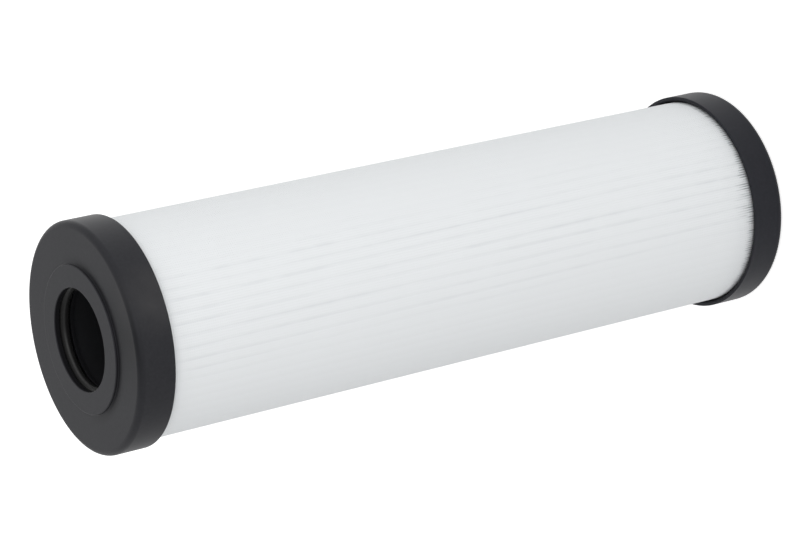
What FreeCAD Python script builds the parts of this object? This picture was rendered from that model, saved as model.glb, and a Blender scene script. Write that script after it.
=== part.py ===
import FreeCAD, Part
import math
import os

import Sketcher

# A replaceable filter element for a hydraulic filter housing: two moulded end caps, a pleated laminate
# on a windowed support tube between them, and a fine mesh wrapped round the pleats.
# The element stands on its closed cap. The origin is the centre of that cap's outer face, and +Z runs
# along the element's axis to the open cap. All lengths are in millimetres.

SIZES = [
    ("element_length", 263.0, "closed cap's outer face to open cap's ring face"),
    ("cap_diameter", 78.0, "outside diameter of both caps"),
    ("cap_height", 13.0, "height of both caps, outer face to skirt rim"),
    ("cap_edge_radius", 2.1, "rounding of the caps' outer edge"),
    ("cap_rim_bevel", 0.4, "bevel on the skirt's rim"),
    ("skirt_wall", 1.7, "wall of the caps' skirts"),
    ("closed_floor", 4.0, "floor of the closed cap"),
    ("relief_diameter", 50.0, "moulded relief in the closed cap's outer face"),
    ("relief_depth", 0.8, "depth of that relief"),
    ("rib_wall", 2.0, "wall of the rib that locates the support tube"),
    ("tube_fit", 0.1, "clearance between that rib and the support tube"),
    ("boss_wall", 5.0, "boss round the seal groove, on the open cap"),
    ("boss_height", 1.0, "height of the boss over the ring face"),
    ("boss_bevel", 0.4, "bevel on the boss's edge"),
    ("spigot_diameter", 34.0, "the housing's spigot that the bore takes"),
    ("spigot_clearance", 0.3, "clearance all round between spigot and bore"),
    ("mouth_bevel", 0.3, "bevel at the mouth of the bore"),
    ("land_length", 1.8, "bore in front of the seal groove, bevel and all"),
    ("seal_section", 3.5, "thickness of the sealing ring"),
    ("seal_squeeze", 0.5, "how far the ring stands into the spigot's path"),
    ("groove_play", 0.7, "room along the axis beside the ring in its groove"),
    ("groove_floor", 1.4, "wall between the groove and the cap's inner face"),
    ("tube_step", 0.7, "how much wider than the spigot bore the support tube is, all round"),
    ("tube_wall", 1.8, "wall of the support tube"),
    ("window_pairs", 4, "pairs of opposite windows round the support tube"),
    ("window_height", 15.0, "height of one window"),
    ("hoop_width", 4.0, "solid hoop between two windows of one column"),
    ("bar_width", 4.0, "solid bar between two columns, at the bore"),
    ("end_hoop_width", 8.0, "least solid hoop at either end of the tube"),
    ("potting_depth", 2.0, "adhesive between cap floor and pleats"),
    ("pack_fit", 0.2, "clearance between support tube and pleats"),
    ("laminate", 0.75, "thickness of the pleated laminate"),
    ("layer_gap", 0.29, "gap between neighbouring layers at the support tube"),
    ("seam_depth", 7.0, "how far the seam bead reaches in between the pleat's ends"),
    ("wrap_fit", 0.05, "clearance between fold crests and mesh sleeve"),
    ("sleeve_wall", 0.3, "thickness of the mesh sleeve"),
    ("sleeve_clearance", 0.45, "clearance between mesh sleeve and skirt"),
]

doc = FreeCAD.newDocument("filter_element")
sheet = doc.addObject("Spreadsheet::Sheet", "Sizes")
for row, (alias, number, meaning) in enumerate(SIZES, start=1):
    sheet.set(f"A{row}", meaning)
    sheet.set(f"B{row}", str(number))
    sheet.setAlias(f"B{row}", alias)
doc.recompute()

# Sizes that follow from those of the sheet, as expressions
CAP_R = "Sizes.cap_diameter / 2"
SKIRT_R = f"({CAP_R} - Sizes.skirt_wall)"
BORE_R = "(Sizes.spigot_diameter / 2 + Sizes.spigot_clearance)"
SEAL_INNER_R = "(Sizes.spigot_diameter / 2 - Sizes.seal_squeeze)"
GROOVE_R = f"({SEAL_INNER_R} + Sizes.seal_section)"
GROOVE_TOP = "(Sizes.boss_height - Sizes.land_length)"
GROOVE_LENGTH = "(Sizes.seal_section + Sizes.groove_play)"
BOSS_R = f"({GROOVE_R} + Sizes.boss_wall)"
OPEN_FLOOR = f"({GROOVE_LENGTH} - {GROOVE_TOP} + Sizes.groove_floor)"
TUBE_BORE_R = f"({BORE_R} + Sizes.tube_step)"
TUBE_R = f"({TUBE_BORE_R} + Sizes.tube_wall)"
RIB_INNER_R = f"({TUBE_R} + Sizes.tube_fit)"
RIB_OUTER_R = f"({RIB_INNER_R} + Sizes.rib_wall)"
TUBE_LENGTH = f"(Sizes.element_length - {OPEN_FLOOR} - Sizes.closed_floor)"
PACK_BOTTOM = "(Sizes.closed_floor + Sizes.potting_depth)"
PACK_TOP = f"(Sizes.element_length - {OPEN_FLOOR} - Sizes.potting_depth)"
PACK_LENGTH = f"({PACK_TOP} - {PACK_BOTTOM})"
PACK_INNER_R = f"({TUBE_R} + Sizes.pack_fit)"
SLEEVE_R = f"({SKIRT_R} - Sizes.sleeve_clearance)"
PACK_OUTER_R = f"({SLEEVE_R} - Sizes.sleeve_wall - Sizes.wrap_fit)"
PLEATS = f"floor(pi * {PACK_INNER_R} / (Sizes.laminate + Sizes.layer_gap))"
WINDOW_STEP = "(Sizes.window_height + Sizes.hoop_width)"
WINDOW_ROWS = f"floor(({TUBE_LENGTH} - 2 * Sizes.end_hoop_width + Sizes.hoop_width) / {WINDOW_STEP})"
WINDOW_WIDTH = f"(2 * {TUBE_BORE_R} * sin(90deg / Sizes.window_pairs) - Sizes.bar_width)"
FIRST_WINDOW = f"(({TUBE_LENGTH} - {WINDOW_ROWS} * {WINDOW_STEP} + Sizes.hoop_width) / 2)"

AXIS = FreeCAD.Vector(0, 0, 1)
SEAM_BEARING = 90  # degrees from +X to the side that the pleats' seam faces
NEAR = 1e-4


def size(expression):
    """What an expression on the sheet's sizes comes to."""
    return float(sheet.evalExpression(expression))


def new_body(label, height="0", turned_over=False):
    """An empty body whose origin stands at a height on the element's axis."""
    body = doc.addObject("PartDesign::Body", label)
    body.Label = label
    if turned_over:
        body.Placement = FreeCAD.Placement(FreeCAD.Vector(), FreeCAD.Rotation(FreeCAD.Vector(1, 0, 0), 180))
    body.setExpression("Placement.Base.z", height)
    return body


def new_sketch(body, name, role):
    """An empty sketch on one of the body's own origin planes."""
    sketch = body.newObject("Sketcher::SketchObject", name)
    plane = next(face for face in body.Origin.OriginFeatures if face.Role == role)
    sketch.AttachmentSupport = [(plane, "")]
    sketch.MapMode = "FlatFace"
    return sketch


def outline(body, name, corners):
    """A closed outline in the XZ plane, with each corner's distance from the axis and height bound."""
    sketch = new_sketch(body, name, "XZ_Plane")
    places = [FreeCAD.Vector(size(across), size(up), 0) for across, up in corners]
    for number, place in enumerate(places):
        following = places[(number + 1) % len(places)]
        sketch.addGeometry(Part.LineSegment(place, following), False)
    for number, (across, up) in enumerate(corners):
        following = (number + 1) % len(corners)
        sketch.addConstraint(Sketcher.Constraint("Coincident", number, 2, following, 1))
        bound = {"DistanceX": (across, places[number].x), "DistanceY": (up, places[number].y)}
        for kind, (expression, number_now) in bound.items():
            at = sketch.addConstraint(Sketcher.Constraint(kind, -1, 1, number, 1, number_now))
            sketch.setExpression(f"Constraints[{at}]", expression)
    return sketch


def circles(body, name, radii):
    """Circles round the axis in the XY plane."""
    sketch = new_sketch(body, name, "XY_Plane")
    for number, radius in enumerate(radii):
        sketch.addGeometry(Part.Circle(FreeCAD.Vector(), AXIS, size(radius)), False)
        sketch.addConstraint(Sketcher.Constraint("Coincident", number, 3, -1, 1))
        at = sketch.addConstraint(Sketcher.Constraint("Radius", number, size(radius)))
        sketch.setExpression(f"Constraints[{at}]", radius)
    return sketch


def turned(body, name, kind, corners):
    """An outline swung right round the axis, as a revolution or a groove."""
    sketch = outline(body, f"{name}_outline", corners)
    feature = body.newObject(kind, name)
    feature.Profile = sketch
    feature.ReferenceAxis = (sketch, ["V_Axis"])
    feature.Angle = 360
    return feature


def round_edges(feature, radius, height):
    """The feature's round edges of this radius at this height in its body."""
    found = []
    for number, edge in enumerate(feature.Shape.Edges, start=1):
        curve = edge.Curve
        if not isinstance(curve, Part.Circle):
            continue
        if abs(curve.Radius - size(radius)) < NEAR and abs(curve.Center.z - size(height)) < NEAR:
            found.append(f"Edge{number}")
    return found


def ease_edges(body, name, kind, extent, edges):
    """Rounds (Fillet) or bevels (Chamfer) the body's round edges given as (radius, height)."""
    doc.recompute()
    base = body.Tip
    picked = [edge for radius, height in edges for edge in round_edges(base, radius, height)]
    feature = body.newObject(kind, name)
    feature.Base = (base, picked)
    feature.setExpression("Radius" if kind == "PartDesign::Fillet" else "Size", extent)
    return feature


def moulded_cup(body, floor):
    """The form both caps share: a floor, a skirt round the pleats, and a rib round the support tube.

    The outer face lies at height 0 and the skirt stands up from it.
    """
    rib_top = f"({floor} + Sizes.potting_depth)"
    turned(body, f"{body.Label}_cup", "PartDesign::Revolution", [
        ("0", "0"),
        (CAP_R, "0"),
        (CAP_R, "Sizes.cap_height"),
        (SKIRT_R, "Sizes.cap_height"),
        (SKIRT_R, floor),
        (RIB_OUTER_R, floor),
        (RIB_OUTER_R, rib_top),
        (RIB_INNER_R, rib_top),
        (RIB_INNER_R, floor),
        ("0", floor),
    ])
    ease_edges(body, f"{body.Label}_edge", "PartDesign::Fillet", "Sizes.cap_edge_radius", [(CAP_R, "0")])
    ease_edges(body, f"{body.Label}_rim", "PartDesign::Chamfer", "Sizes.cap_rim_bevel",
               [(CAP_R, "Sizes.cap_height"), (SKIRT_R, "Sizes.cap_height")])


def closed_end_cap():
    """Blind cap. A round relief leaves its outer face a flat ring foot."""
    body = new_body("closed_end_cap")
    moulded_cup(body, "Sizes.closed_floor")
    relief = body.newObject("PartDesign::Pocket", "relief")
    relief.Profile = circles(body, "relief_circle", ["Sizes.relief_diameter / 2"])
    relief.setExpression("Length", "Sizes.relief_depth")
    relief.Reversed = True
    return body


def open_end_cap():
    """Cap with the boss, the bore for the housing's spigot and the groove for its sealing ring."""
    body = new_body("open_end_cap", "Sizes.element_length", turned_over=True)
    moulded_cup(body, OPEN_FLOOR)
    boss = body.newObject("PartDesign::Pad", "boss")
    boss.Profile = circles(body, "boss_circle", [BOSS_R])
    boss.setExpression("Length", "Sizes.boss_height")
    boss.Reversed = True
    bore = body.newObject("PartDesign::Pocket", "bore")
    bore.Profile = circles(body, "bore_circle", [BORE_R])
    bore.Type = "ThroughAll"
    bore.Midplane = True
    ease_edges(body, "boss_edge", "PartDesign::Chamfer", "Sizes.boss_bevel",
               [(BOSS_R, "-Sizes.boss_height")])
    ease_edges(body, "mouth", "PartDesign::Chamfer", "Sizes.mouth_bevel", [(BORE_R, "-Sizes.boss_height")])
    turned(body, "seal_groove", "PartDesign::Groove", [
        (f"{BORE_R} - Sizes.seal_squeeze", f"-{GROOVE_TOP}"),
        (GROOVE_R, f"-{GROOVE_TOP}"),
        (GROOVE_R, f"{GROOVE_LENGTH} - {GROOVE_TOP}"),
        (f"{BORE_R} - Sizes.seal_squeeze", f"{GROOVE_LENGTH} - {GROOVE_TOP}"),
    ])
    return body


def bore_seal_ring():
    """Rubber ring in the middle of its groove, bearing on the groove's floor."""
    ring = doc.addObject("Part::Torus", "bore_seal_ring")
    ring.Label = "bore_seal_ring"
    ring.setExpression("Radius1", f"{GROOVE_R} - Sizes.seal_section / 2")
    ring.setExpression("Radius2", "Sizes.seal_section / 2")
    ring.setExpression("Placement.Base.z", f"Sizes.element_length + {GROOVE_TOP} - {GROOVE_LENGTH} / 2")
    return ring


def potting(label, height):
    """Ring of adhesive on a cap's floor, between the skirt and the rib."""
    body = new_body(label, height)
    ring = body.newObject("PartDesign::Pad", f"{label}_ring")
    ring.Profile = circles(body, f"{label}_circles", [SKIRT_R, RIB_OUTER_R])
    ring.setExpression("Length", "Sizes.potting_depth")
    return body


def support_core():
    """Moulded tube that carries the pleats. Its windows stand in columns between bars and hoops."""
    body = new_body("support_core", "Sizes.closed_floor")
    tube = body.newObject("PartDesign::Pad", "tube")
    tube.Profile = circles(body, "tube_circles", [TUBE_R, TUBE_BORE_R])
    tube.setExpression("Length", TUBE_LENGTH)
    frame = outline(body, "window_outline", [
        (f"-{WINDOW_WIDTH} / 2", FIRST_WINDOW),
        (f"{WINDOW_WIDTH} / 2", FIRST_WINDOW),
        (f"{WINDOW_WIDTH} / 2", f"{FIRST_WINDOW} + Sizes.window_height"),
        (f"-{WINDOW_WIDTH} / 2", f"{FIRST_WINDOW} + Sizes.window_height"),
    ])
    window = body.newObject("PartDesign::Pocket", "window")
    window.Profile = frame
    window.Type = "ThroughAll"
    window.Midplane = True
    column = body.newObject("PartDesign::LinearPattern", "column")
    column.Direction = (frame, ["V_Axis"])
    column.setExpression("Length", f"({WINDOW_ROWS} - 1) * {WINDOW_STEP}")
    column.setExpression("Occurrences", WINDOW_ROWS)
    columns = body.newObject("PartDesign::PolarPattern", "columns")
    columns.Axis = (frame, ["V_Axis"])
    columns.setExpression("Angle", "180 * (Sizes.window_pairs - 1) / Sizes.window_pairs")
    columns.setExpression("Occurrences", "Sizes.window_pairs")
    grid = body.newObject("PartDesign::MultiTransform", "window_grid")
    grid.Originals = [window]
    grid.Transformations = [column, columns]
    body.Tip = grid
    return body


def polar(radius, angle, centre=FreeCAD.Vector()):
    """The point at a distance and an angle from a centre."""
    return centre + FreeCAD.Vector(radius * math.cos(angle), radius * math.sin(angle), 0)


class Fold:
    """The pleats' section. Every layer lies along a ray from the axis, and round folds join the layers.

    half_step is the angle from a fold's middle to the layers on both its sides.
    """

    def __init__(self):
        self.pleats = int(size(PLEATS))
        self.half_step = math.pi / (2 * self.pleats)
        self.half_wall = size("Sizes.laminate") / 2
        spread = math.sin(self.half_step)
        self.crest_at = (size(PACK_OUTER_R) - self.half_wall) / (1 + spread)
        self.valley_at = (size(PACK_INNER_R) + self.half_wall) / (1 - spread)
        self.crest_outer = self.crest_at * spread + self.half_wall
        self.valley_outer = self.valley_at * spread + self.half_wall

    def beside(self, distance, angle, side):
        """The foot on a layer's face of the fold centred this far out: side 1 or -1 gives the face."""
        foot = polar(distance * math.cos(self.half_step), angle)
        return polar(side * self.half_wall, angle + math.pi / 2, foot)


def closed_face(edges):
    """The flat face inside a chain of edges."""
    return Part.Face(Part.Wire(edges))


def drawn_up(label, section, length, height):
    """A flat section drawn up along the axis and turned so that the seam faces its bearing."""
    profile = doc.addObject("Part::Feature", f"{label}_section")
    profile.Shape = section
    solid = doc.addObject("Part::Extrusion", label)
    solid.Label = label
    solid.Base = profile
    solid.DirMode = "Custom"
    solid.Dir = AXIS
    solid.Solid = True
    solid.Placement = FreeCAD.Placement(FreeCAD.Vector(), FreeCAD.Rotation(AXIS, SEAM_BEARING))
    solid.setExpression("LengthFwd", length)
    solid.setExpression("Placement.Base.z", height)
    return solid


def pleat_pack(fold):
    """One strip of laminate folded round the tube. Its free ends stop either side of the first crest."""
    outer_skin = []
    inner_skin = []
    for number in range(fold.pleats):
        crest = 2 * math.pi * number / fold.pleats
        valley = crest + math.pi / fold.pleats
        left, right = crest - fold.half_step, crest + fold.half_step
        after = valley + fold.half_step
        if number > 0:
            over = polar(fold.crest_outer, crest, polar(fold.crest_at, crest))
            ends = [fold.beside(fold.crest_at, left, -1), fold.beside(fold.crest_at, right, 1)]
            outer_skin.append(Part.Arc(ends[0], over, ends[1]).toShape())
            crease = [fold.beside(fold.crest_at, left, 1), fold.beside(fold.crest_at, right, -1)]
            inner_skin.append(Part.LineSegment(*crease).toShape())
        # down one layer, round the valley and up the next
        foot = [fold.beside(fold.valley_at, right, 1), fold.beside(fold.valley_at, after, -1)]
        outer_skin.append(Part.LineSegment(fold.beside(fold.crest_at, right, 1), foot[0]).toShape())
        outer_skin.append(Part.LineSegment(*foot).toShape())
        outer_skin.append(Part.LineSegment(foot[1], fold.beside(fold.crest_at, after, -1)).toShape())
        under = polar(-fold.valley_outer, valley, polar(fold.valley_at, valley))
        heel = [fold.beside(fold.valley_at, right, -1), fold.beside(fold.valley_at, after, 1)]
        inner_skin.append(Part.LineSegment(fold.beside(fold.crest_at, right, -1), heel[0]).toShape())
        inner_skin.append(Part.Arc(heel[0], under, heel[1]).toShape())
        inner_skin.append(Part.LineSegment(heel[1], fold.beside(fold.crest_at, after, 1)).toShape())
    free_ends = [
        Part.LineSegment(fold.beside(fold.crest_at, side * fold.half_step, -1),
                         fold.beside(fold.crest_at, side * fold.half_step, 1)).toShape()
        for side in (-1, 1)
    ]
    chain = Part.sortEdges(outer_skin + inner_skin + free_ends)
    return drawn_up("pleat_pack", closed_face(chain[0]), PACK_LENGTH, PACK_BOTTOM)


def pleat_seam(fold):
    """Adhesive bead between the laminate's free ends, rounded over them like a crest."""
    inner_end = fold.crest_at - size("Sizes.seam_depth")
    left, right = -fold.half_step, fold.half_step
    corners = [
        fold.beside(fold.crest_at, right, 1),
        fold.beside(fold.crest_at, right, -1),
        fold.beside(inner_end, right, -1),
        fold.beside(inner_end, left, 1),
        fold.beside(fold.crest_at, left, 1),
        fold.beside(fold.crest_at, left, -1),
    ]
    edges = [Part.LineSegment(*pair).toShape() for pair in zip(corners, corners[1:])]
    over = polar(fold.crest_at + fold.crest_outer, 0)
    edges.append(Part.Arc(corners[-1], over, corners[0]).toShape())
    return drawn_up("pleat_seam", closed_face(edges), PACK_LENGTH, PACK_BOTTOM)


def wrap_loop(fold, radius):
    """A line drawn tight round all crests: an arc over each and a straight to the next."""
    step = 2 * math.pi / fold.pleats
    edges = []
    for number in range(fold.pleats):
        crest = step * number
        centre = polar(fold.crest_at, crest)
        following = polar(fold.crest_at, crest + step)
        start, over, end = (polar(radius, crest + turn * step / 2, centre) for turn in (-1, 0, 1))
        edges.append(Part.Arc(start, over, end).toShape())
        edges.append(Part.LineSegment(end, polar(radius, crest + step / 2, following)).toShape())
    return Part.Wire(edges)


def mesh_sleeve(fold):
    """Fine mesh drawn tight round the fold crests, as one thin wall."""
    inner = fold.crest_outer + size("Sizes.wrap_fit")
    outer = inner + size("Sizes.sleeve_wall")
    section = Part.makeFace([wrap_loop(fold, outer), wrap_loop(fold, inner)], "Part::FaceMakerBullseye")
    return drawn_up("mesh_sleeve", section, PACK_LENGTH, PACK_BOTTOM)


fold = Fold()
pieces = [
    closed_end_cap(),
    open_end_cap(),
    bore_seal_ring(),
    potting("closed_end_potting", "Sizes.closed_floor"),
    potting("open_end_potting", PACK_TOP),
    support_core(),
    pleat_pack(fold),
    pleat_seam(fold),
    mesh_sleeve(fold),
]
doc.recompute()

for item in doc.Objects:
    if {"Invalid", "Error"} & set(item.State):
        raise SystemExit(f"{item.Name} failed: {item.State}")
for piece in pieces:
    if piece.Shape.isNull() or not piece.Shape.isValid() or len(piece.Shape.Solids) != 1:
        raise SystemExit(f"{piece.Label} is not one sound solid")

os.makedirs("parts", exist_ok=True)
for piece in pieces:
    piece.Shape.exportStep(os.path.join("parts", f"{piece.Label}.step"))
    box = piece.Shape.BoundBox
    print(f"{piece.Label}: {piece.Shape.Volume:.0f} mm3, height {box.ZMin:.2f} to {box.ZMax:.2f}")
print(f"{fold.pleats} pleats")
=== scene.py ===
import math

import bmesh
import bpy
from mathutils import Matrix, Vector


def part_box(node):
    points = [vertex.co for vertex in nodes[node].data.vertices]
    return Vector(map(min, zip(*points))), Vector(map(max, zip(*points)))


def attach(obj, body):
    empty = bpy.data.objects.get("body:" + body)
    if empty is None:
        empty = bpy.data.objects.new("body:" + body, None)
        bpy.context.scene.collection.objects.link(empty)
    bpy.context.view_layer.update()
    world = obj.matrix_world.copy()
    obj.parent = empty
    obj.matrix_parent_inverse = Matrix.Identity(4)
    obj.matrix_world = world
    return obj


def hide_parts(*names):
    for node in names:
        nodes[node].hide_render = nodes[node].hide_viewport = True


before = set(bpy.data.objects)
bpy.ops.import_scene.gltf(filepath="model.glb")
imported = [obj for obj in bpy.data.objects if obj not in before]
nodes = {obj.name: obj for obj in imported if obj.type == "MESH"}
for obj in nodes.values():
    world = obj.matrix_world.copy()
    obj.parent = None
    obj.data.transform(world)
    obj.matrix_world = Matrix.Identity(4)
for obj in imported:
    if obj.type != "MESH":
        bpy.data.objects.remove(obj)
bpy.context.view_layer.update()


# The camera. The photograph looks at the open cap from about 30 degrees above the element's side,
# with the element lying down, so the picture's upward direction is nearly the part's +X.
camera_place = Vector((0.10214, -0.87261, 0.67215))
camera_aim = Vector((-0.00074, 0.00831, 0.13434))
picture_tilt = math.radians(10.953)
picture_up = Vector((math.cos(picture_tilt), 0.0, -math.sin(picture_tilt)))

camera = bpy.data.objects.new("camera", bpy.data.cameras.new("camera"))
camera.data.lens = 133.904
camera.data.sensor_width = 36.0
camera.data.clip_start = 0.05
towards_camera = (camera_place - camera_aim).normalized()
picture_right = picture_up.cross(towards_camera).normalized()
turn = Matrix((picture_right, towards_camera.cross(picture_right), towards_camera)).transposed()
camera.matrix_world = Matrix.Translation(camera_place) @ turn.to_4x4()
bpy.context.scene.collection.objects.link(camera)
bpy.context.scene.camera = camera


# The studio: a white tent that shows white behind the element and in its gloss, two large soft lamps,
# and a pale floor that the element stands on. Its own white hides all but the deepest shadow, and it lies
# a hair below the element's base, so that no two faces share a plane.
tent_light = 0.735
tent_white = 1.0
floor_size = 6.0
floor_height = -0.0001
floor_glow = 0.66
floor_shine = {"start": -0.3, "end": 0.3, "low": 0.27, "high": 0.72}
floor_colour = (0.80, 0.80, 0.80, 1.0)
white = (1.0, 1.0, 1.0, 1.0)
top_lamp = {"place": (1.4, -0.3, 0.75), "size": 1.3, "power": 2.6}
side_lamp = {"place": (0.3, -1.6, 0.9), "size": 1.4, "power": 8.0}
lamp_aim = Vector((0.0, 0.0, 0.13))


def add_node(tree, kind, inputs=None, **settings):
    """A node of a tree. Its inputs are given by name or number, as a plain value or as a socket to link."""
    node = tree.nodes.new(kind)
    for name, value in settings.items():
        setattr(node, name, value)
    for key, value in (inputs or {}).items():
        if isinstance(value, bpy.types.NodeSocket):
            tree.links.new(value, node.inputs[key])
        else:
            node.inputs[key].default_value = value
    return node


def work_out(tree, operation, *values):
    """The result of a Math node, shader or geometry."""
    return add_node(tree, "ShaderNodeMath", dict(enumerate(values)), operation=operation).outputs[0]


def mixed(tree, share, low, high):
    """Low where the share is 0, high where it is 1."""
    return add_node(tree, "ShaderNodeMix", {0: share, 2: low, 3: high}).outputs[0]


def ramp(tree, value, start, end, low=0.0, high=1.0, smooth=False):
    """Low where the value is at the start, high where it is at the end, and level past both."""
    return add_node(tree, "ShaderNodeMapRange", {
        "Value": value,
        "From Min": start,
        "From Max": end,
        "To Min": low,
        "To Max": high,
    }, interpolation_type="SMOOTHSTEP" if smooth else "LINEAR").outputs[0]


def own_place(tree):
    """Each point's place in its piece's own axes."""
    return add_node(tree, "ShaderNodeTexCoord").outputs["Object"]


def parts_of(tree, vector):
    """The X, Y and Z of a vector, by those names."""
    return add_node(tree, "ShaderNodeSeparateXYZ", {0: vector}).outputs


def seen_directly(tree, by_camera, in_gloss):
    """One value for rays from the camera, one for rays off gloss and through glass, 0 for light on things."""
    path = add_node(tree, "ShaderNodeLightPath").outputs
    gloss = work_out(tree, "MAXIMUM", path["Is Glossy Ray"], path["Is Transmission Ray"])
    camera_share = work_out(tree, "MULTIPLY", path["Is Camera Ray"], by_camera)
    return work_out(tree, "MULTIPLY_ADD", gloss, in_gloss, camera_share)


def soft_lamp(name, place, size, power):
    """A square area lamp that faces the element."""
    lamp = bpy.data.lights.new(name, "AREA")
    lamp.shape = "SQUARE"
    lamp.size = size
    lamp.energy = power
    holder = bpy.data.objects.new(name, lamp)
    holder.location = place
    holder.rotation_euler = (lamp_aim - Vector(place)).to_track_quat("-Z", "Y").to_euler()
    bpy.context.scene.collection.objects.link(holder)


bpy.context.scene.view_settings.view_transform = "Standard"
world = bpy.data.worlds.new("tent")
world.use_nodes = True
bpy.context.scene.world = world
tent = world.node_tree
tent.nodes.clear()
strength = mixed(tent, seen_directly(tent, 1.0, 1.0), tent_light, tent_white)
background = add_node(tent, "ShaderNodeBackground", {"Color": white, "Strength": strength})
add_node(tent, "ShaderNodeOutputWorld", {"Surface": background.outputs[0]})

soft_lamp("top_lamp", **top_lamp)
soft_lamp("side_lamp", **side_lamp)

floor_mesh = bpy.data.meshes.new("floor")
half_floor = floor_size / 2
floor_corners = [
    (x * half_floor, y * half_floor, floor_height)
    for x, y in ((-1, -1), (1, -1), (1, 1), (-1, 1))
]
floor_mesh.from_pydata(floor_corners, [], [(0, 1, 2, 3)])
floor = bpy.data.objects.new("floor", floor_mesh)
bpy.context.scene.collection.objects.link(floor)
floor_material = bpy.data.materials.new("white_floor")
floor_material.use_nodes = True
paint = floor_material.node_tree
paint.nodes.clear()
shine = ramp(paint, parts_of(paint, own_place(paint))["X"], **floor_shine)
glow = add_node(paint, "ShaderNodeEmission", {
    "Color": white,
    "Strength": seen_directly(paint, floor_glow, shine),
})
matt = add_node(paint, "ShaderNodeBsdfDiffuse", {"Color": floor_colour})
both = add_node(paint, "ShaderNodeAddShader", {0: glow.outputs[0], 1: matt.outputs[0]})
add_node(paint, "ShaderNodeOutputMaterial", {"Surface": both.outputs[0]})
floor_mesh.materials.append(floor_material)


# The support tube inside the pleats: injection-moulded black polypropylene with rows of windows.
# Its ends stand inside the ribs of the two caps, and it keeps the pleats from collapsing.
core_colour = (0.011, 0.011, 0.012, 1.0)
core_roughness = 0.5
core_gloss = 0.25
gloss_tint = (0.86, 0.89, 1.0, 1.0)
patch_fineness = 45.0
scratch_fineness = 900.0
dust_on_plastic = 1.5


def add_group(name, kind, inputs, outputs):
    """A node group with number inputs and typed outputs, and its input and output nodes."""
    group = bpy.data.node_groups.new(name, kind)
    for label, value in inputs.items():
        socket = group.interface.new_socket(name=label, in_out="INPUT", socket_type="NodeSocketFloat")
        socket.default_value = value
    for label, socket_type in outputs.items():
        group.interface.new_socket(name=label, in_out="OUTPUT", socket_type=socket_type)
    return group, group.nodes.new("NodeGroupInput"), group.nodes.new("NodeGroupOutput")


def noise(tree, place, fineness, detail):
    """Smooth noise about a half, shader or geometry."""
    node = add_node(tree, "ShaderNodeTexNoise", {"Vector": place, "Scale": fineness, "Detail": detail})
    return node.outputs["Fac"]


def make_moulded_finish():
    """The skin of a moulded part: a fine spark-eroded grain, and slow drifts in its shine."""
    group, given, made = add_group(
        "moulded_finish",
        "ShaderNodeTree",
        {"Grain size": 0.00035, "Grain height": 0.00001, "Roughness": 0.4, "Drift": 0.05},
        {"Roughness": "NodeSocketFloat", "Normal": "NodeSocketVector", "Wear": "NodeSocketFloat"},
    )
    place = own_place(group)
    grain_fineness = work_out(group, "DIVIDE", 1.0, given.outputs["Grain size"])
    bump = add_node(group, "ShaderNodeBump", {
        "Height": noise(group, place, grain_fineness, 2.0),
        "Distance": given.outputs["Grain height"],
    })
    drift = work_out(group, "SUBTRACT", noise(group, place, patch_fineness, 3.0), 0.5)
    swing = work_out(group, "MULTIPLY", drift, given.outputs["Drift"])
    group.links.new(work_out(group, "ADD", given.outputs["Roughness"], swing), made.inputs["Roughness"])
    group.links.new(bump.outputs["Normal"], made.inputs["Normal"])
    group.links.new(noise(group, place, scratch_fineness, 4.0), made.inputs["Wear"])
    return group


moulded_finish = make_moulded_finish()


def new_material(name):
    """A material with nothing but its Principled shader and output, and its tree."""
    material = bpy.data.materials.new(name)
    material.use_nodes = True
    tree = material.node_tree
    tree.nodes.clear()
    shader = add_node(tree, "ShaderNodeBsdfPrincipled")
    add_node(tree, "ShaderNodeOutputMaterial", {"Surface": shader.outputs[0]})
    return material, tree, shader


def mixed_colour(tree, share, low, high):
    """The low colour where the share is 0, the high one where it is 1."""
    return add_node(tree, "ShaderNodeMix", {0: share, 6: low, 7: high}, data_type="RGBA").outputs[2]


def scaled_colour(colour, factor):
    """A colour made lighter or darker by a factor."""
    return [channel * factor for channel in colour[:3]] + [1.0]


def finished_colour(tree, shader, colour, lighter, sizes):
    """Gives a shader the moulded finish, and makes its colour lighter where the grain catches dust."""
    finish = add_node(tree, "ShaderNodeGroup", sizes, node_tree=moulded_finish).outputs
    tree.links.new(finish["Roughness"], shader.inputs["Roughness"])
    tree.links.new(finish["Normal"], shader.inputs["Normal"])
    return mixed_colour(tree, finish["Wear"], colour, scaled_colour(colour, lighter))


def moulded_plastic(name, colour, roughness, specular):
    """Black moulded plastic with a little dust in its grain."""
    material, tree, shader = new_material(name)
    dusted = finished_colour(tree, shader, colour, dust_on_plastic, {"Roughness": roughness})
    tree.links.new(dusted, shader.inputs["Base Color"])
    shader.inputs["Specular IOR Level"].default_value = specular
    shader.inputs["Specular Tint"].default_value = gloss_tint
    return material


def dress(node_name, material):
    """Gives a CAD node that keeps its shape its finish."""
    node = nodes[node_name]
    node.data.materials.clear()
    node.data.materials.append(material)


core_plastic = moulded_plastic("black_core_plastic", core_colour, core_roughness, core_gloss)
dress("support_core", core_plastic)


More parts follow.
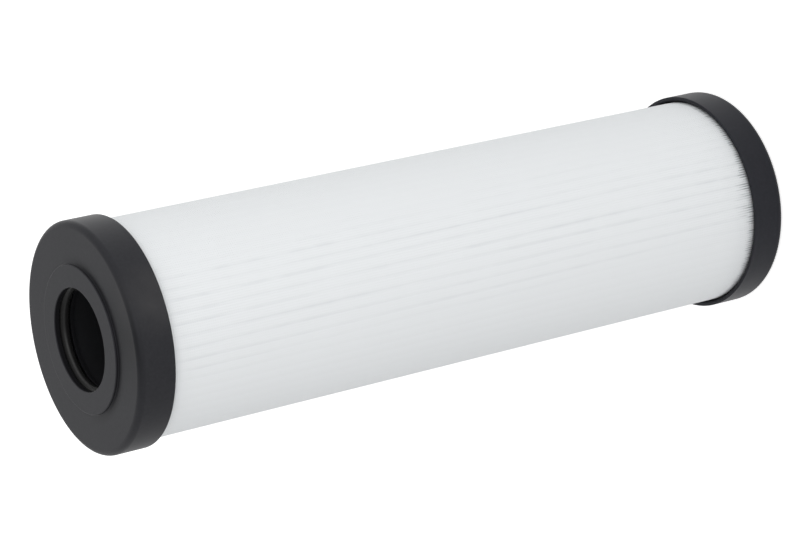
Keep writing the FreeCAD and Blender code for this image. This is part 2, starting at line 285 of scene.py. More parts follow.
# The filter laminate: glass fibre between two layers of scrim, folded into sixty pleats round the tube.
# The folds are hot-creased on a knife pleater, so their crests belly out and lean a little this way and that.
pleat_count = 60
seam_bearing = math.radians(90.0)
laminate = 0.00075
pack_low, pack_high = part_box("pleat_pack")
pack_outer_radius = pack_high.x
pack_inner_radius = 0.020
half_step = math.pi / (2 * pleat_count)
crest_centre = (pack_outer_radius - laminate / 2) / (1 + math.sin(half_step))
valley_centre = (pack_inner_radius + laminate / 2) / (1 - math.sin(half_step))
crest_belly = 0.00028
crest_sweep = math.radians(100.0)
crest_lean = 0.0009
lean_changes_round = 6.0
lean_changes_along = 9.0
steps_per_pleat = 24
steps_along_pack = 16
unfolded_spacing = 0.0001
laminate_colour = (0.80, 0.81, 0.80, 1.0)
laminate_roughness = (0.8, 0.9)
fibre_fineness = 2500.0
fibre_relief = 0.00005
fibre_shade = 0.93


def vector_of(tree, x=0.0, y=0.0, z=0.0):
    """A vector from three numbers or sockets."""
    return add_node(tree, "ShaderNodeCombineXYZ", {"X": x, "Y": y, "Z": z}).outputs[0]


def at_bearing(tree, bearing, length, z=0.0):
    """A vector that points away from the axis at a bearing, this long, and with this height."""
    x = work_out(tree, "MULTIPLY", work_out(tree, "COSINE", bearing), length)
    y = work_out(tree, "MULTIPLY", work_out(tree, "SINE", bearing), length)
    return vector_of(tree, x, y, z)


def make_crest_drift():
    """How far the fold crests lean sideways, by bearing and height, as a length at the crests."""
    group, given, made = add_group(
        "crest_drift",
        "GeometryNodeTree",
        {"Bearing": 0.0, "Height": 0.0, "Most": 0.001},
        {"Drift": "NodeSocketFloat"},
    )
    along = work_out(group, "MULTIPLY", given.outputs["Height"], lean_changes_along)
    place = at_bearing(group, given.outputs["Bearing"], lean_changes_round, along)
    either_way = work_out(group, "MULTIPLY_ADD", noise(group, place, 1.0, 1.0), 2.0, -1.0)
    drift = work_out(group, "MULTIPLY", either_way, given.outputs["Most"])
    group.links.new(drift, made.inputs["Drift"])
    return group


crest_drift = make_crest_drift()


def drift_at(tree, bearing, height, most):
    """The sideways lean of the crests at each point of a tree."""
    return add_node(tree, "GeometryNodeGroup", {
        "Bearing": bearing,
        "Height": height,
        "Most": most,
    }, node_tree=crest_drift).outputs[0]


def new_maker_tree(name, sizes):
    """A Geometry Nodes tree with these number inputs and a material input."""
    tree = bpy.data.node_groups.new(name, "GeometryNodeTree")
    tree.interface.new_socket(name="Geometry", in_out="OUTPUT", socket_type="NodeSocketGeometry")
    for label, value in sizes.items():
        socket = tree.interface.new_socket(name=label, in_out="INPUT", socket_type="NodeSocketFloat")
        socket.default_value = value
    tree.interface.new_socket(name="Material", in_out="INPUT", socket_type="NodeSocketMaterial")
    return tree, tree.nodes.new("NodeGroupInput").outputs


def finish_maker_tree(tree, geometry, material):
    """Ends a tree: faces that look outwards and are smooth, real geometry and its material."""
    outwards = add_node(tree, "GeometryNodeFlipFaces", {"Mesh": geometry})
    smooth = add_node(tree, "GeometryNodeSetShadeSmooth", {"Geometry": outwards.outputs[0]})
    real = add_node(tree, "GeometryNodeRealizeInstances", {"Geometry": smooth.outputs[0]})
    dressed = add_node(tree, "GeometryNodeSetMaterial", {"Geometry": real.outputs[0], "Material": material})
    made = tree.nodes.new("NodeGroupOutput")
    tree.links.new(dressed.outputs[0], made.inputs["Geometry"])


def strip_section(tree, thickness, width, steps):
    """The section of a strip as a closed curve: its thickness across, its width in even steps."""
    sheet = add_node(tree, "GeometryNodeMeshGrid", {
        "Size X": thickness,
        "Size Y": width,
        "Vertices X": 2,
        "Vertices Y": steps,
    })
    faces_beside = add_node(tree, "GeometryNodeInputMeshEdgeNeighbors").outputs[0]
    rim = add_node(tree, "GeometryNodeMeshToCurve", {
        "Mesh": sheet.outputs["Mesh"],
        "Selection": work_out(tree, "LESS_THAN", faces_beside, 1.5),
    })
    return rim.outputs["Curve"]


def distance_from_axis(tree, parts):
    """How far each point lies from the element's axis."""
    across = work_out(tree, "MULTIPLY", parts["X"], parts["X"])
    return work_out(tree, "SQRT", work_out(tree, "MULTIPLY_ADD", parts["Y"], parts["Y"], across))


def height_bearing_radius(tree):
    """The height, bearing and distance from the axis of each point of a tree."""
    parts = parts_of(tree, add_node(tree, "GeometryNodeInputPosition").outputs[0])
    bearing = work_out(tree, "ARCTAN2", parts["Y"], parts["X"])
    return parts["Z"], bearing, distance_from_axis(tree, parts)


def moved(tree, geometry, offset):
    """The geometry with its points moved by an offset."""
    return add_node(tree, "GeometryNodeSetPosition", {"Geometry": geometry, "Offset": offset}).outputs[0]


def make_pleat_tree():
    """The tree that folds one strip of laminate round the tube, from one side of the seam to the other."""
    tree, given = new_maker_tree("fold_laminate", {
        "Pleats": float(pleat_count),
        "Steps per pleat": float(steps_per_pleat),
        "Half step": half_step,
        "Crest centre": crest_centre,
        "Valley centre": valley_centre,
        "Belly": crest_belly,
        "Laminate": laminate,
        "Bottom": pack_low.z,
        "Length": pack_high.z - pack_low.z,
        "Seam bearing": seam_bearing,
        "Lean": crest_lean,
    })
    third = 1.0 / 3.0
    half = given["Half step"]
    skipped = work_out(tree, "MULTIPLY", given["Steps per pleat"], third / 2)
    skipped_twice = work_out(tree, "MULTIPLY", skipped, 2.0)
    all_steps = work_out(tree, "MULTIPLY", given["Pleats"], given["Steps per pleat"])
    points = work_out(tree, "ADD", work_out(tree, "SUBTRACT", all_steps, skipped_twice), 1.0)
    strip = add_node(tree, "GeometryNodeMeshLine", {"Count": points, "Offset": (0.0, 0.0, unfolded_spacing)})

    index = add_node(tree, "GeometryNodeInputIndex").outputs[0]
    pleats_on = work_out(tree, "DIVIDE", work_out(tree, "ADD", index, skipped), given["Steps per pleat"])
    number = work_out(tree, "ROUND", pleats_on)
    from_crest = work_out(tree, "SUBTRACT", pleats_on, number)
    side = work_out(tree, "SIGN", from_crest)
    down = work_out(tree, "MULTIPLY", work_out(tree, "ABSOLUTE", from_crest), 2.0)

    # The crest's arc bellies out past the layers, except beside the seam, where the bead holds them.
    to_seam = work_out(tree, "MINIMUM", number, work_out(tree, "SUBTRACT", given["Pleats"], number))
    free = work_out(tree, "MINIMUM", to_seam, 1.0)
    tight = work_out(tree, "MULTIPLY", given["Crest centre"], work_out(tree, "SINE", half))
    crest_round = work_out(tree, "MULTIPLY_ADD", given["Belly"], free, tight)
    crest_axis = work_out(tree, "SUBTRACT", work_out(tree, "ADD", given["Crest centre"], tight), crest_round)
    crest_share = work_out(tree, "MINIMUM", work_out(tree, "DIVIDE", down, third), 1.0)
    crest_turn = work_out(tree, "MULTIPLY", crest_share, crest_sweep)
    crest_x = work_out(tree, "MULTIPLY_ADD", crest_round, work_out(tree, "COSINE", crest_turn), crest_axis)
    crest_y = work_out(tree, "MULTIPLY", crest_round, work_out(tree, "SINE", crest_turn))

    # The valley's arc lies between two layers at the tube.
    valley_ray = work_out(tree, "MULTIPLY", half, 2.0)
    valley_round = work_out(tree, "MULTIPLY", given["Valley centre"], work_out(tree, "SINE", half))
    left_over = work_out(tree, "SUBTRACT", 1.0, down)
    valley_share = work_out(tree, "MINIMUM", work_out(tree, "DIVIDE", left_over, third), 1.0)
    valley_turn = work_out(tree, "MULTIPLY", valley_share, work_out(tree, "ADD", half, math.pi / 2))
    inwards = work_out(tree, "MULTIPLY", valley_round, work_out(tree, "COSINE", valley_turn))
    sideways = work_out(tree, "MULTIPLY", valley_round, work_out(tree, "SINE", valley_turn))
    along_ray = work_out(tree, "SUBTRACT", given["Valley centre"], inwards)
    ray_x = work_out(tree, "COSINE", valley_ray)
    ray_y = work_out(tree, "SINE", valley_ray)
    valley_x = work_out(tree, "MULTIPLY_ADD", along_ray, ray_x, work_out(tree, "MULTIPLY", sideways, ray_y))
    valley_y = work_out(tree, "SUBTRACT", work_out(tree, "MULTIPLY", along_ray, ray_y),
                        work_out(tree, "MULTIPLY", sideways, ray_x))

    # The layer runs straight between the two arcs, which both stand still while it is passed.
    layer_share = ramp(tree, down, third, 2 * third)
    fold_x = mixed(tree, layer_share, crest_x, valley_x)
    fold_y = work_out(tree, "MULTIPLY", mixed(tree, layer_share, crest_y, valley_y), side)

    step = work_out(tree, "DIVIDE", math.tau, given["Pleats"])
    turned_by = work_out(tree, "MULTIPLY_ADD", number, step, given["Seam bearing"])
    fold = add_node(tree, "ShaderNodeVectorRotate", {
        "Vector": vector_of(tree, fold_x, fold_y),
        "Angle": turned_by,
    }, rotation_type="Z_AXIS").outputs[0]
    folded = add_node(tree, "GeometryNodeSetPosition", {"Geometry": strip.outputs[0], "Position": fold})
    path = add_node(tree, "GeometryNodeMeshToCurve", {"Mesh": folded.outputs[0]})
    upright = add_node(tree, "GeometryNodeSetCurveNormal", {"Curve": path.outputs[0]}, mode="Z_UP")
    pack = add_node(tree, "GeometryNodeCurveToMesh", {
        "Curve": upright.outputs[0],
        "Profile Curve": strip_section(tree, given["Laminate"], given["Length"], steps_along_pack),
        "Fill Caps": True,
    })
    middle = work_out(tree, "MULTIPLY_ADD", given["Length"], 0.5, given["Bottom"])
    stood = moved(tree, pack.outputs[0], vector_of(tree, z=middle))

    # The crests lean sideways and the valleys stay at the tube.
    height, bearing, radius = height_bearing_radius(tree)
    drift = drift_at(tree, bearing, height, given["Lean"])
    out = ramp(tree, radius, given["Valley centre"], given["Crest centre"])
    lean = work_out(tree, "MULTIPLY", drift, out)
    across = work_out(tree, "ADD", bearing, math.pi / 2)
    finish_maker_tree(tree, moved(tree, stood, at_bearing(tree, across, lean)), given["Material"])
    return tree


def felted(name, colour, darkest, fineness, roughness, relief):
    """A pale felted or poured material, with a bump and a drift of its colour from the same noise."""
    material, tree, shader = new_material(name)
    fibres = noise(tree, own_place(tree), fineness, 4.0)
    tint = mixed_colour(tree, fibres, colour, scaled_colour(colour, darkest))
    bump = add_node(tree, "ShaderNodeBump", {"Height": fibres, "Distance": relief})
    tree.links.new(tint, shader.inputs["Base Color"])
    tree.links.new(ramp(tree, fibres, 0.0, 1.0, *roughness), shader.inputs["Roughness"])
    tree.links.new(bump.outputs["Normal"], shader.inputs["Normal"])
    return material


def made_by_nodes(name, tree, material):
    """The plain mesh that a tree of Geometry Nodes makes, as an object."""
    maker = bpy.data.objects.new(name, bpy.data.meshes.new(f"{name}_start"))
    bpy.context.scene.collection.objects.link(maker)
    modifier = maker.modifiers.new("maker", "NODES")
    modifier.node_group = tree
    for item in tree.interface.items_tree:
        if item.in_out == "INPUT" and item.name == "Material":
            modifier[item.identifier] = material
    evaluated = maker.evaluated_get(bpy.context.evaluated_depsgraph_get())
    mesh = bpy.data.meshes.new_from_object(evaluated)
    maker.modifiers.remove(modifier)
    maker.data = mesh
    mesh.name = name
    return maker


white_laminate = felted(
    "white_laminate",
    laminate_colour,
    fibre_shade,
    fibre_fineness,
    laminate_roughness,
    fibre_relief,
)
pleats = made_by_nodes("pleated_laminate", make_pleat_tree(), white_laminate)
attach(pleats, "root")
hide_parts("pleat_pack")


# The seam and the potting: two-part casting resin. A bead of it joins the laminate's free ends along one
# pleat, and a ring poured into each cap, between its rib and its skirt, seals the pleats' ends.
adhesive_colour = (0.55, 0.53, 0.47, 1.0)
adhesive_shade = 0.8
adhesive_fineness = 180.0
adhesive_roughness = (0.25, 0.6)
adhesive_relief = 0.0002
cured_adhesive = felted(
    "cured_adhesive",
    adhesive_colour,
    adhesive_shade,
    adhesive_fineness,
    adhesive_roughness,
    adhesive_relief,
)
dress("pleat_seam", cured_adhesive)
dress("closed_end_potting", cured_adhesive)
dress("open_end_potting", cured_adhesive)


# The mesh sleeve: a fine woven net of white polyester, drawn tight round the fold crests.
# It sinks a little between the crests, and both its ends are tucked under the caps' skirts.
sleeve_low, sleeve_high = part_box("mesh_sleeve")
sleeve_radius = sleeve_high.x
sleeve_wall = 0.0003
sleeve_sag = 0.00005
sag_sharpness = 5.0
sleeve_steps_round = 1080
sleeve_steps_along = 30
warp_threads = 270
weft_pitch = 0.0008
weft_share = 0.6
opening_level = -0.45
opening_edge = 0.1
thread_relief = 0.00002
thread_bump = 0.5
sleeve_colour = (0.868, 0.889, 0.902, 1.0)
sleeve_roughness = 0.7
sleeve_gloss = 0.3

# The painted shade over the gaps between the folds, a darker colour on the net along each gap.
shade_colour = (0.36, 0.39, 0.42, 1.0)
gap_shade_depth = 0.122
gap_sharpness = 12.0
gap_changes_round = 11.0
gap_changes_along = 12.0
faintest_gap_shade = 0.25
gap_shade_bearing = math.radians(-76.5)
gap_shade_twist = -0.8
gap_shade_reach = (0.02, 0.17)
gap_shade_break_fineness = 130.0
gap_shade_break_span = (0.45, 1.55)
noise_span = (0.35, 0.65)

# The painted shade on the net beside the caps: dark ticks between the warp threads, and a fainter band.
# Lengths are in metres from a cap's rim.
rim_shade_colour = (0.36, 0.38, 0.40, 1.0)
closed_end_rim_shade = {"ticks": 0.0085, "shade_band": 0.005, "depth": 0.13}
open_end_rim_shade = {"ticks": 0.001, "shade_band": 0.002, "depth": 0.12}
tick_depth = 0.8
rim_shade_bearing = math.radians(-96.0)
rim_shade_reach = (0.02, 0.21)
far_side_share = 0.15
rim_shade_fineness = 95.0
rim_shade_noise_span = (0.42, 0.58)
least_rim_shade = 0.2
even_share = 0.15
thread_changes_round = 60.0
thread_changes_along = 150.0
bundle_fineness = 0.6
bundle_noise_span = (0.38, 0.60)
bundle_most = 1.25
beside_warp = (0.5, -0.8)
lower_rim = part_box("closed_end_cap")[1].z
upper_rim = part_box("open_end_cap")[0].z


def product(tree, first, *others):
    """The product of several values."""
    for value in others:
        first = work_out(tree, "MULTIPLY", first, value)
    return first


def make_sleeve_tree():
    """The tree that draws a ring-shaped band of net over the crests."""
    tree, given = new_maker_tree("draw_net_over_crests", {
        "Radius": sleeve_radius,
        "Wall": sleeve_wall,
        "Bottom": sleeve_low.z,
        "Length": sleeve_high.z - sleeve_low.z,
        "Crests": float(pleat_count),
        "First crest": seam_bearing,
        "Sag": sleeve_sag,
        "Lean": crest_lean,
        "Gap shade bearing": gap_shade_bearing,
        "Twist per metre": gap_shade_twist,
        "Rim shade bearing": rim_shade_bearing,
    })
    middle = work_out(tree, "MULTIPLY_ADD", given["Wall"], -0.5, given["Radius"])
    path = add_node(tree, "GeometryNodeCurvePrimitiveCircle", {
        "Resolution": sleeve_steps_round,
        "Radius": middle,
    })
    swept = add_node(tree, "GeometryNodeCurveToMesh", {
        "Curve": path.outputs["Curve"],
        "Profile Curve": strip_section(tree, given["Wall"], given["Length"], sleeve_steps_along),
    })
    raised = work_out(tree, "MULTIPLY_ADD", given["Length"], 0.5, given["Bottom"])
    stood = moved(tree, swept.outputs[0], vector_of(tree, z=raised))

    height, bearing, radius = height_bearing_radius(tree)
    drift = drift_at(tree, bearing, height, given["Lean"])
    leaned = work_out(tree, "SUBTRACT", bearing, work_out(tree, "DIVIDE", drift, radius))
    turns = work_out(tree, "DIVIDE", work_out(tree, "SUBTRACT", leaned, given["First crest"]), math.tau)
    folds = product(tree, turns, given["Crests"], math.pi)
    hollow = work_out(tree, "ABSOLUTE", work_out(tree, "SINE", folds))
    sunk = product(tree, work_out(tree, "POWER", hollow, sag_sharpness), given["Sag"], -1.0)
    drawn = moved(tree, stood, at_bearing(tree, bearing, sunk))

    # A painted shade darkens the net over each gap between two folds. It is plainest on the side across from
    # the seam, and even there its strength varies from gap to gap. That side runs a little askew.
    gap_shade_here = work_out(tree, "MULTIPLY_ADD", height, given["Twist per metre"], given["Gap shade bearing"])
    # Two masks by bearing: where the painted gap shade is plainest, and where the painted shade beside the
    # caps reaches furthest.
    shade_masks = []
    for centre, reach in ((gap_shade_here, gap_shade_reach), (given["Rim shade bearing"], rim_shade_reach)):
        towards = work_out(tree, "COSINE", work_out(tree, "SUBTRACT", bearing, centre))
        away = work_out(tree, "SUBTRACT", 1.0, towards)
        shade_masks.append(ramp(tree, away, *reach, low=1.0, high=far_side_share, smooth=True))
    gap_shade_mask, rim_shade_mask = shade_masks
    along = work_out(tree, "MULTIPLY", height, gap_changes_along)
    patches = noise(tree, at_bearing(tree, bearing, gap_changes_round, along), 1.0, 2.0)
    gap_shade_strength = ramp(tree, patches, *noise_span, low=faintest_gap_shade)
    shade = product(tree, work_out(tree, "POWER", hollow, gap_sharpness), gap_shade_strength, gap_shade_mask)
    marked = drawn
    # The painted gap shade, and the side where the painted shade beside the caps is strongest, are kept on
    # the points.
    for name, value in (("painted_gap_shade", shade), ("rim_shade_side", rim_shade_mask)):
        marked = add_node(tree, "GeometryNodeStoreNamedAttribute", {
            "Geometry": marked,
            "Name": name,
            "Value": value,
        }, data_type="FLOAT", domain="POINT").outputs[0]
    finish_maker_tree(tree, marked, given["Material"])
    return tree


def woven_net():
    """White polyester net: fine threads with small openings, with painted shade beside the caps and over the
    gaps between the folds.
    """
    material, tree, shader = new_material("white_net")
    place = own_place(tree)
    parts = parts_of(tree, place)
    bearing = work_out(tree, "ARCTAN2", parts["Y"], parts["X"])
    warp = work_out(tree, "COSINE", work_out(tree, "MULTIPLY", bearing, float(warp_threads)))
    weft = work_out(tree, "COSINE", work_out(tree, "MULTIPLY", parts["Z"], math.tau / weft_pitch))
    height = work_out(tree, "MAXIMUM", warp, work_out(tree, "MULTIPLY", weft, weft_share))
    hole = ramp(tree, work_out(tree, "SUBTRACT", opening_level, height), 0.0, opening_edge)
    bump = add_node(tree, "ShaderNodeBump", {
        "Height": height,
        "Distance": thread_relief,
        "Strength": thread_bump,
    })

    # Painted shade beside the caps: dark ticks between the warp threads, reaching furthest at the closed end
    # and on one side, and a fainter painted band past them.
    rim_shade_side_share = add_node(tree, "ShaderNodeAttribute", attribute_name="rim_shade_side").outputs["Fac"]
    rim_shade_patches = ramp(tree, noise(tree, place, rim_shade_fineness, 1.0), *rim_shade_noise_span, low=least_rim_shade)
    uneven = mixed(tree, work_out(tree, "MULTIPLY", rim_shade_patches, rim_shade_side_share), even_share, 1.0)
    thread_place = vector_of(
        tree,
        work_out(tree, "MULTIPLY", bearing, thread_changes_round),
        0.0,
        work_out(tree, "MULTIPLY", parts["Z"], thread_changes_along),
    )
    share = product(tree, noise(tree, thread_place, 1.0, 1.0), 2.0, uneven)
    bundles = noise(tree, thread_place, bundle_fineness, 2.0)
    some_threads = ramp(tree, bundles, *bundle_noise_span, high=bundle_most)
    between = work_out(tree, "MULTIPLY", ramp(tree, warp, *beside_warp), some_threads)
    above_lower = work_out(tree, "SUBTRACT", parts["Z"], lower_rim)
    below_upper = work_out(tree, "SUBTRACT", upper_rim, parts["Z"])
    shade_band = 0.0
    for from_rim, rim_shade in ((above_lower, closed_end_rim_shade), (below_upper, open_end_rim_shade)):
        tick_reach = ramp(tree, from_rim, work_out(tree, "MULTIPLY", share, rim_shade["ticks"]), 0.0, smooth=True)
        ticks = product(tree, tick_reach, between, tick_depth)
        outside = work_out(tree, "MAXIMUM", from_rim, 0.0)
        faint = work_out(tree, "EXPONENT", work_out(tree, "DIVIDE", outside, -rim_shade["shade_band"]))
        both_marks = work_out(tree, "MULTIPLY_ADD", faint, rim_shade["depth"], ticks)
        shade_band = work_out(tree, "MAXIMUM", both_marks, shade_band)
    # The painted shade over the gaps between the folds, broken up by noise.
    painted_gap_shade = add_node(tree, "ShaderNodeAttribute", attribute_name="painted_gap_shade").outputs["Fac"]
    break_low, break_high = gap_shade_break_span
    broken = ramp(tree, noise(tree, place, gap_shade_break_fineness, 2.0), *noise_span, break_low, break_high)
    gap_share = product(tree, painted_gap_shade, gap_shade_depth, broken)
    over_gaps = mixed_colour(tree, gap_share, sleeve_colour, shade_colour)
    tree.links.new(mixed_colour(tree, shade_band, over_gaps, rim_shade_colour), shader.inputs["Base Color"])
    tree.links.new(bump.outputs["Normal"], shader.inputs["Normal"])
    tree.links.new(work_out(tree, "SUBTRACT", 1.0, hole), shader.inputs["Alpha"])
    shader.inputs["Roughness"].default_value = sleeve_roughness
    shader.inputs["Specular IOR Level"].default_value = sleeve_gloss
    return material


sleeve = made_by_nodes("net_sleeve", make_sleeve_tree(), woven_net())
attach(sleeve, "root")
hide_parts("mesh_sleeve")


# The closed cap: glass-filled black nylon, injection moulded, with every edge broken by a small rounding.
# The skirt's mouth has a rounded lead-in for the pleats, and the rib inside it locates the support tube.
cap_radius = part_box("closed_end_cap")[1].x
cap_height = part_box("closed_end_cap")[1].z
skirt_wall = 0.0017
skirt_radius = cap_radius - skirt_wall
closed_floor = 0.004
relief_radius = 0.025
relief_depth = 0.0008
rib_inner_radius = 0.0199
rib_wall = 0.002
rib_outer_radius = rib_inner_radius + rib_wall
potting_depth = 0.002
outer_rounding = 0.0021
rim_rounding = 0.0004
lip_rounding = 0.00015
lead_in = 0.0011
moulded_rounding = 0.0003
small_rounding = 0.001
steps_of_small = 4
steps_of_large = 10
beside_arc = 0.00005
turning_steps = 240
merge_distance = 1e-6
cap_colour = (0.0115, 0.0117, 0.0145, 1.0)
cap_roughness = 0.42
cap_gloss = 0.168


def rounded_outline(corners):
    """The points of a closed outline of (radius, height, rounding) corners, with each corner as an arc."""
    points = []
    for index, (radius, height, rounding) in enumerate(corners):
        corner = Vector((radius, height))
        if rounding == 0.0:
            points.append(corner)
            continue
        before = (Vector(corners[index - 1][:2]) - corner).normalized()
        after = (Vector(corners[(index + 1) % len(corners)][:2]) - corner).normalized()
        half_angle = before.angle(after) / 2
        reach = rounding / math.tan(half_angle)
        start = corner + before * reach
        end = corner + after * reach
        centre = corner + (before + after).normalized() * rounding / math.sin(half_angle)
        steps = steps_of_small if rounding < small_rounding else steps_of_large
        swing = (end - centre).angle_signed(start - centre)
        points.append(start + before * beside_arc)
        for step in range(steps + 1):
            points.append(centre + Matrix.Rotation(swing * step / steps, 2) @ (start - centre))
        points.append(end + after * beside_arc)
    return points


def turned_piece(name, corners, material, replaced):
    """A closed solid of revolution about the element's axis, which replaces a CAD node."""
    outline = rounded_outline(corners)
    shape = bmesh.new()
    ring = [shape.verts.new((point.x, 0.0, point.y)) for point in outline]
    for one, other in zip(ring, ring[1:]):
        shape.edges.new((one, other))
    if corners[0][0] > 0.0:
        shape.edges.new((ring[-1], ring[0]))
    bmesh.ops.spin(shape, geom=shape.verts[:] + shape.edges[:], cent=(0, 0, 0), axis=(0, 0, 1),
                   angle=math.tau, steps=turning_steps)
    bmesh.ops.remove_doubles(shape, verts=shape.verts[:], dist=merge_distance)
    bmesh.ops.recalc_face_normals(shape, faces=shape.faces[:])
    for face in shape.faces:
        face.smooth = True
    mesh = bpy.data.meshes.new(name)
    shape.to_mesh(mesh)
    shape.free()
    mesh.materials.append(material)
    piece = bpy.data.objects.new(name, mesh)
    bpy.context.scene.collection.objects.link(piece)
    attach(piece, "root")
    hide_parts(replaced)


cap_plastic = moulded_plastic("black_cap_plastic", cap_colour, cap_roughness, cap_gloss)
turned_piece("closed_cap", [
    (0.0, relief_depth, 0.0),
    (relief_radius, relief_depth, moulded_rounding),
    (relief_radius, 0.0, moulded_rounding),
    (cap_radius, 0.0, outer_rounding),
    (cap_radius, cap_height, lip_rounding),
    (skirt_radius, cap_height, lead_in),
    (skirt_radius, closed_floor, moulded_rounding),
    (rib_outer_radius, closed_floor, moulded_rounding),
    (rib_outer_radius, closed_floor + potting_depth, moulded_rounding),
    (rib_inner_radius, closed_floor + potting_depth, moulded_rounding),
    (rib_inner_radius, closed_floor, moulded_rounding),
    (0.0, closed_floor, 0.0),
], cap_plastic, "closed_end_cap")


# The open cap: the same moulding, with a raised boss round the bore that the housing's spigot enters.
# A square groove just inside the mouth holds the sealing ring.
boss_radius = 0.025
boss_height = 0.0010
boss_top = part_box("open_end_cap")[1].z
ring_face = boss_top - boss_height
open_rim = ring_face - cap_height
bore_radius = 0.0173
groove_radius = 0.020
groove_below_face = 0.0008
groove_top = ring_face - groove_below_face
groove_length = 0.0042
groove_rounding = 0.0001
open_floor = 0.0064
boss_rounding = 0.0004
boss_foot = 0.0004
inner_face = ring_face - open_floor

# Where the dust lies; where a painted shade makes it bare black, in the bore, at the boss's foot on one side
# and in a patch beside the boss; and where a soft lighter patch lies on the skirt.
dusty_colour = (0.0175, 0.0175, 0.0195, 1.0)
dusty_gloss = 0.137
painted_shade_colour = (0.0098, 0.0098, 0.0110, 1.0)
shaded_bore = (groove_radius + 0.002, groove_radius + 0.001)
shaded_foot = (0.0290, 0.0256)
shaded_side = (0.008, -0.012)
below_top = (boss_top - 0.0001, boss_top - 0.0004)
shaded_patch_place = (0.0, -0.033, ring_face)
shaded_patch_reach = 0.024
shaded_patch_depth = (ring_face - 0.0025, ring_face - 0.0005)
# A soft lighter grey patch on one side of the skirt.
skirt_patch_bearing = math.radians(-71.0)
skirt_patch_above_rim = 0.003
skirt_patch_place = (
    cap_radius * math.cos(skirt_patch_bearing),
    cap_radius * math.sin(skirt_patch_bearing),
    open_rim + skirt_patch_above_rim,
)
skirt_patch_reach = 0.016
skirt_patch_fineness = 160.0
skirt_patch_shares = (0.2, 1.4)
skirt_patch_colour = (0.042, 0.041, 0.042, 1.0)


def distance_to(tree, place, other):
    """How far each point lies from another place."""
    return add_node(tree, "ShaderNodeVectorMath", {0: place, 1: other}, operation="DISTANCE").outputs["Value"]


def add_shade_and_patch(material):
    """Painted shade, bare black in the bore, at the boss's foot on one side and in a patch beside the boss,
    and a soft lighter grey patch on the skirt.
    """
    tree = material.node_tree
    base = tree.nodes["Principled BSDF"].inputs["Base Color"]
    dusted = base.links[0].from_socket
    place = own_place(tree)
    parts = parts_of(tree, place)

    # Painted shade, bare black: in the bore, and on one side on the boss's wall and in the corner at its
    # foot.
    radius = distance_from_axis(tree, parts)
    at_foot = ramp(tree, radius, *shaded_foot, smooth=True)
    one_side = ramp(tree, parts["Y"], *shaded_side, smooth=True)
    in_bore = ramp(tree, radius, *shaded_bore)
    in_shade = work_out(tree, "MAXIMUM", in_bore, work_out(tree, "MULTIPLY", at_foot, one_side))
    below_boss_top = ramp(tree, parts["Z"], *below_top)
    shaded = work_out(tree, "MULTIPLY", in_shade, below_boss_top)

    # Painted shade: a darker patch on the face on one side of the boss.
    near_shaded_patch = ramp(tree, distance_to(tree, place, shaded_patch_place), shaded_patch_reach, 0.0, smooth=True)
    shaded_patch = product(tree, near_shaded_patch, ramp(tree, parts["Z"], *shaded_patch_depth), below_boss_top)
    with_painted_shade = mixed_colour(tree, work_out(tree, "MAXIMUM", shaded, shaded_patch), dusted, painted_shade_colour)

    # A soft lighter grey patch on one side of the skirt.
    near_skirt_patch = ramp(tree, distance_to(tree, place, skirt_patch_place), skirt_patch_reach, 0.0, smooth=True)
    patches = ramp(tree, noise(tree, place, skirt_patch_fineness, 3.0), 0.0, 1.0, *skirt_patch_shares)
    skirt_patch = work_out(tree, "MULTIPLY", near_skirt_patch, patches)
    tree.links.new(mixed_colour(tree, skirt_patch, with_painted_shade, skirt_patch_colour), base)
    return material


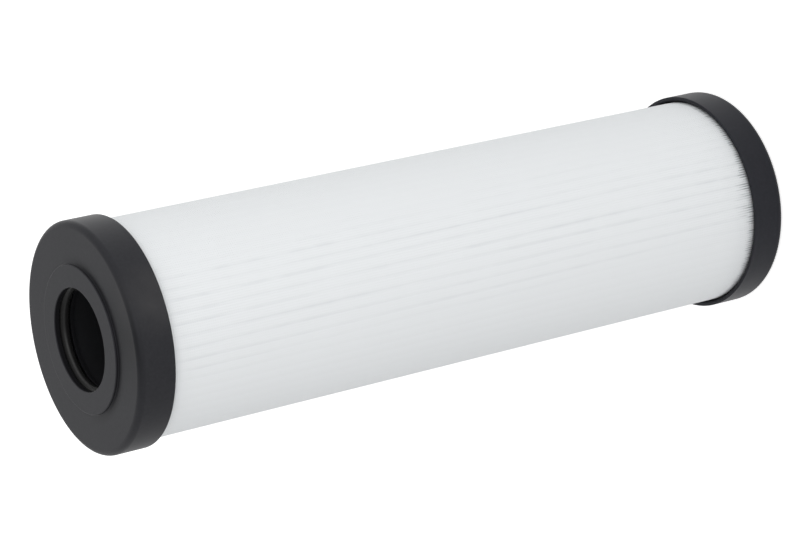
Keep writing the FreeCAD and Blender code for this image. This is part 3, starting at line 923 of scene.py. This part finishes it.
# The open cap's dusty plastic, with painted shade in the bore and beside the boss.
open_cap_plastic = add_shade_and_patch(moulded_plastic("shaded_open_cap_plastic", dusty_colour, cap_roughness, dusty_gloss))
turned_piece("open_cap", [
    (cap_radius, ring_face, outer_rounding),
    (cap_radius, open_rim, rim_rounding),
    (skirt_radius, open_rim, lead_in),
    (skirt_radius, inner_face, moulded_rounding),
    (rib_outer_radius, inner_face, moulded_rounding),
    (rib_outer_radius, inner_face - potting_depth, moulded_rounding),
    (rib_inner_radius, inner_face - potting_depth, moulded_rounding),
    (rib_inner_radius, inner_face, moulded_rounding),
    (bore_radius, inner_face, groove_rounding),
    (bore_radius, groove_top - groove_length, groove_rounding),
    (groove_radius, groove_top - groove_length, moulded_rounding),
    (groove_radius, groove_top, moulded_rounding),
    (bore_radius, groove_top, groove_rounding),
    (bore_radius, boss_top, moulded_rounding),
    (boss_radius, boss_top, boss_rounding),
    (boss_radius, ring_face, boss_foot),
], open_cap_plastic, "open_end_cap")


# The sealing ring: moulded nitrile rubber, a plain O-ring that the groove holds.
# It stands a little into the spigot's path and is squeezed when the element is pushed home.
rubber_colour = (0.0115, 0.0115, 0.0115, 1.0)
rubber_finish = {"Roughness": 0.26, "Grain size": 0.0006, "Grain height": 0.000006}
rubber_gloss = 0.08
rubber_bloom = 1.8
# The painted highlight, a paler band on the mouth's side of the ring's crest.
painted_highlight_colour = (0.058, 0.058, 0.058, 1.0)
ring_low, ring_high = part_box("bore_seal_ring")
highlight_above_middle = 0.00066
highlight_height = (ring_low.z + ring_high.z) / 2 + highlight_above_middle
highlight_width = 0.0013
highlight_side = (0.005, -0.005)
least_highlight = 0.35
highlight_fineness = 60.0
highlight_shares = (0.6, 1.2)


def nitrile_rubber():
    """Black rubber with the dull bloom and faint unevenness of an O-ring, and a painted highlight band."""
    material, tree, shader = new_material("black_rubber")
    bloomed = finished_colour(tree, shader, rubber_colour, rubber_bloom, rubber_finish)

    # Painted highlight: a paler band on the mouth's side of the crest, plainer at one side.
    place = own_place(tree)
    parts = parts_of(tree, place)
    off_band = work_out(tree, "ABSOLUTE", work_out(tree, "SUBTRACT", parts["Z"], highlight_height))
    in_band = ramp(tree, off_band, highlight_width / 2, 0.0, smooth=True)
    one_side = ramp(tree, parts["X"], *highlight_side, low=least_highlight, smooth=True)
    uneven = ramp(tree, noise(tree, place, highlight_fineness, 1.0), 0.0, 1.0, *highlight_shares)
    painted_highlight = product(tree, in_band, uneven, one_side)
    tree.links.new(mixed_colour(tree, painted_highlight, bloomed, painted_highlight_colour), shader.inputs["Base Color"])
    shader.inputs["Specular IOR Level"].default_value = rubber_gloss
    return material


dress("bore_seal_ring", nitrile_rubber())
